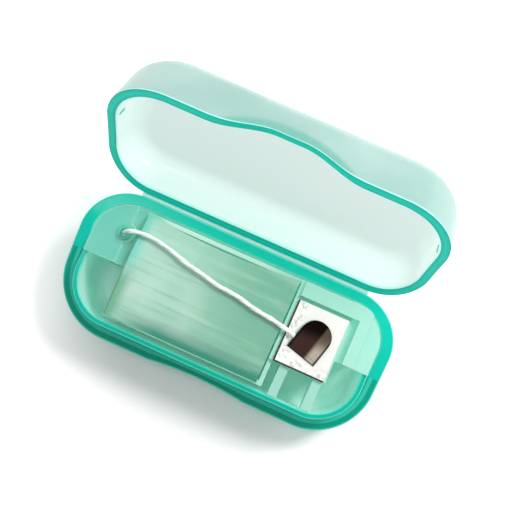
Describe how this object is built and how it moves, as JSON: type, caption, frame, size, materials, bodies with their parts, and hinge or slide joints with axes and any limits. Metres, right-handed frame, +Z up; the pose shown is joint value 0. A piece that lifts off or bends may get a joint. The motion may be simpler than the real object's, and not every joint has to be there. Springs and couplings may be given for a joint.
{
  "type": "dental floss dispenser",
  "caption": "Pocket dental floss box: clamshell plastic case with a film-hinged lid, oblong floss winding under a frosted window, and a steel cutter plate with a raised tongue.",
  "frame": {"origin": "on the case's flat underside, under the centre of the closed lid", "axes": "+X along the case towards the cutter, +Y to the hinge, +Z up out of the base"},
  "size_m": [0.0692, 0.0542, 0.0424],
  "materials": {
    "case_plastic": "glossy moulded teal polypropylene",
    "lid_plastic": "milky translucent polypropylene with a pale teal tint",
    "insert_plastic": "satin moulded pale green plastic",
    "window_plastic": "frosted translucent green sheet",
    "card_plastic": "plain off-white moulded plastic",
    "cutter_steel": "pressed spring steel, lightly mottled",
    "floss_fibre": "white waxed multifilament floss"
  },
  "bodies": {
    "case": {"base_shell": "case_plastic", "insert_frame": "insert_plastic", "window_cover": "window_plastic", "outlet_eyelet": "insert_plastic", "cutter_plate": "cutter_steel", "winding_plate": "card_plastic", "floss_body": "floss_fibre", "floss_winding": "floss_fibre", "floss_feed": "floss_fibre", "floss_strand": "floss_fibre", "hinge_film": "case_plastic"},
    "lid": {"lid_shell": "lid_plastic"}
  },
  "joints": [
    {"name": "lid_hinge", "type": "hinge", "parent": "case", "child": "lid", "pos_m": [0, 0.0153, 0.01457], "axis": [-1, 0, 0], "range_deg": [-126, 54], "deforming": ["hinge_film"]}
  ]
}
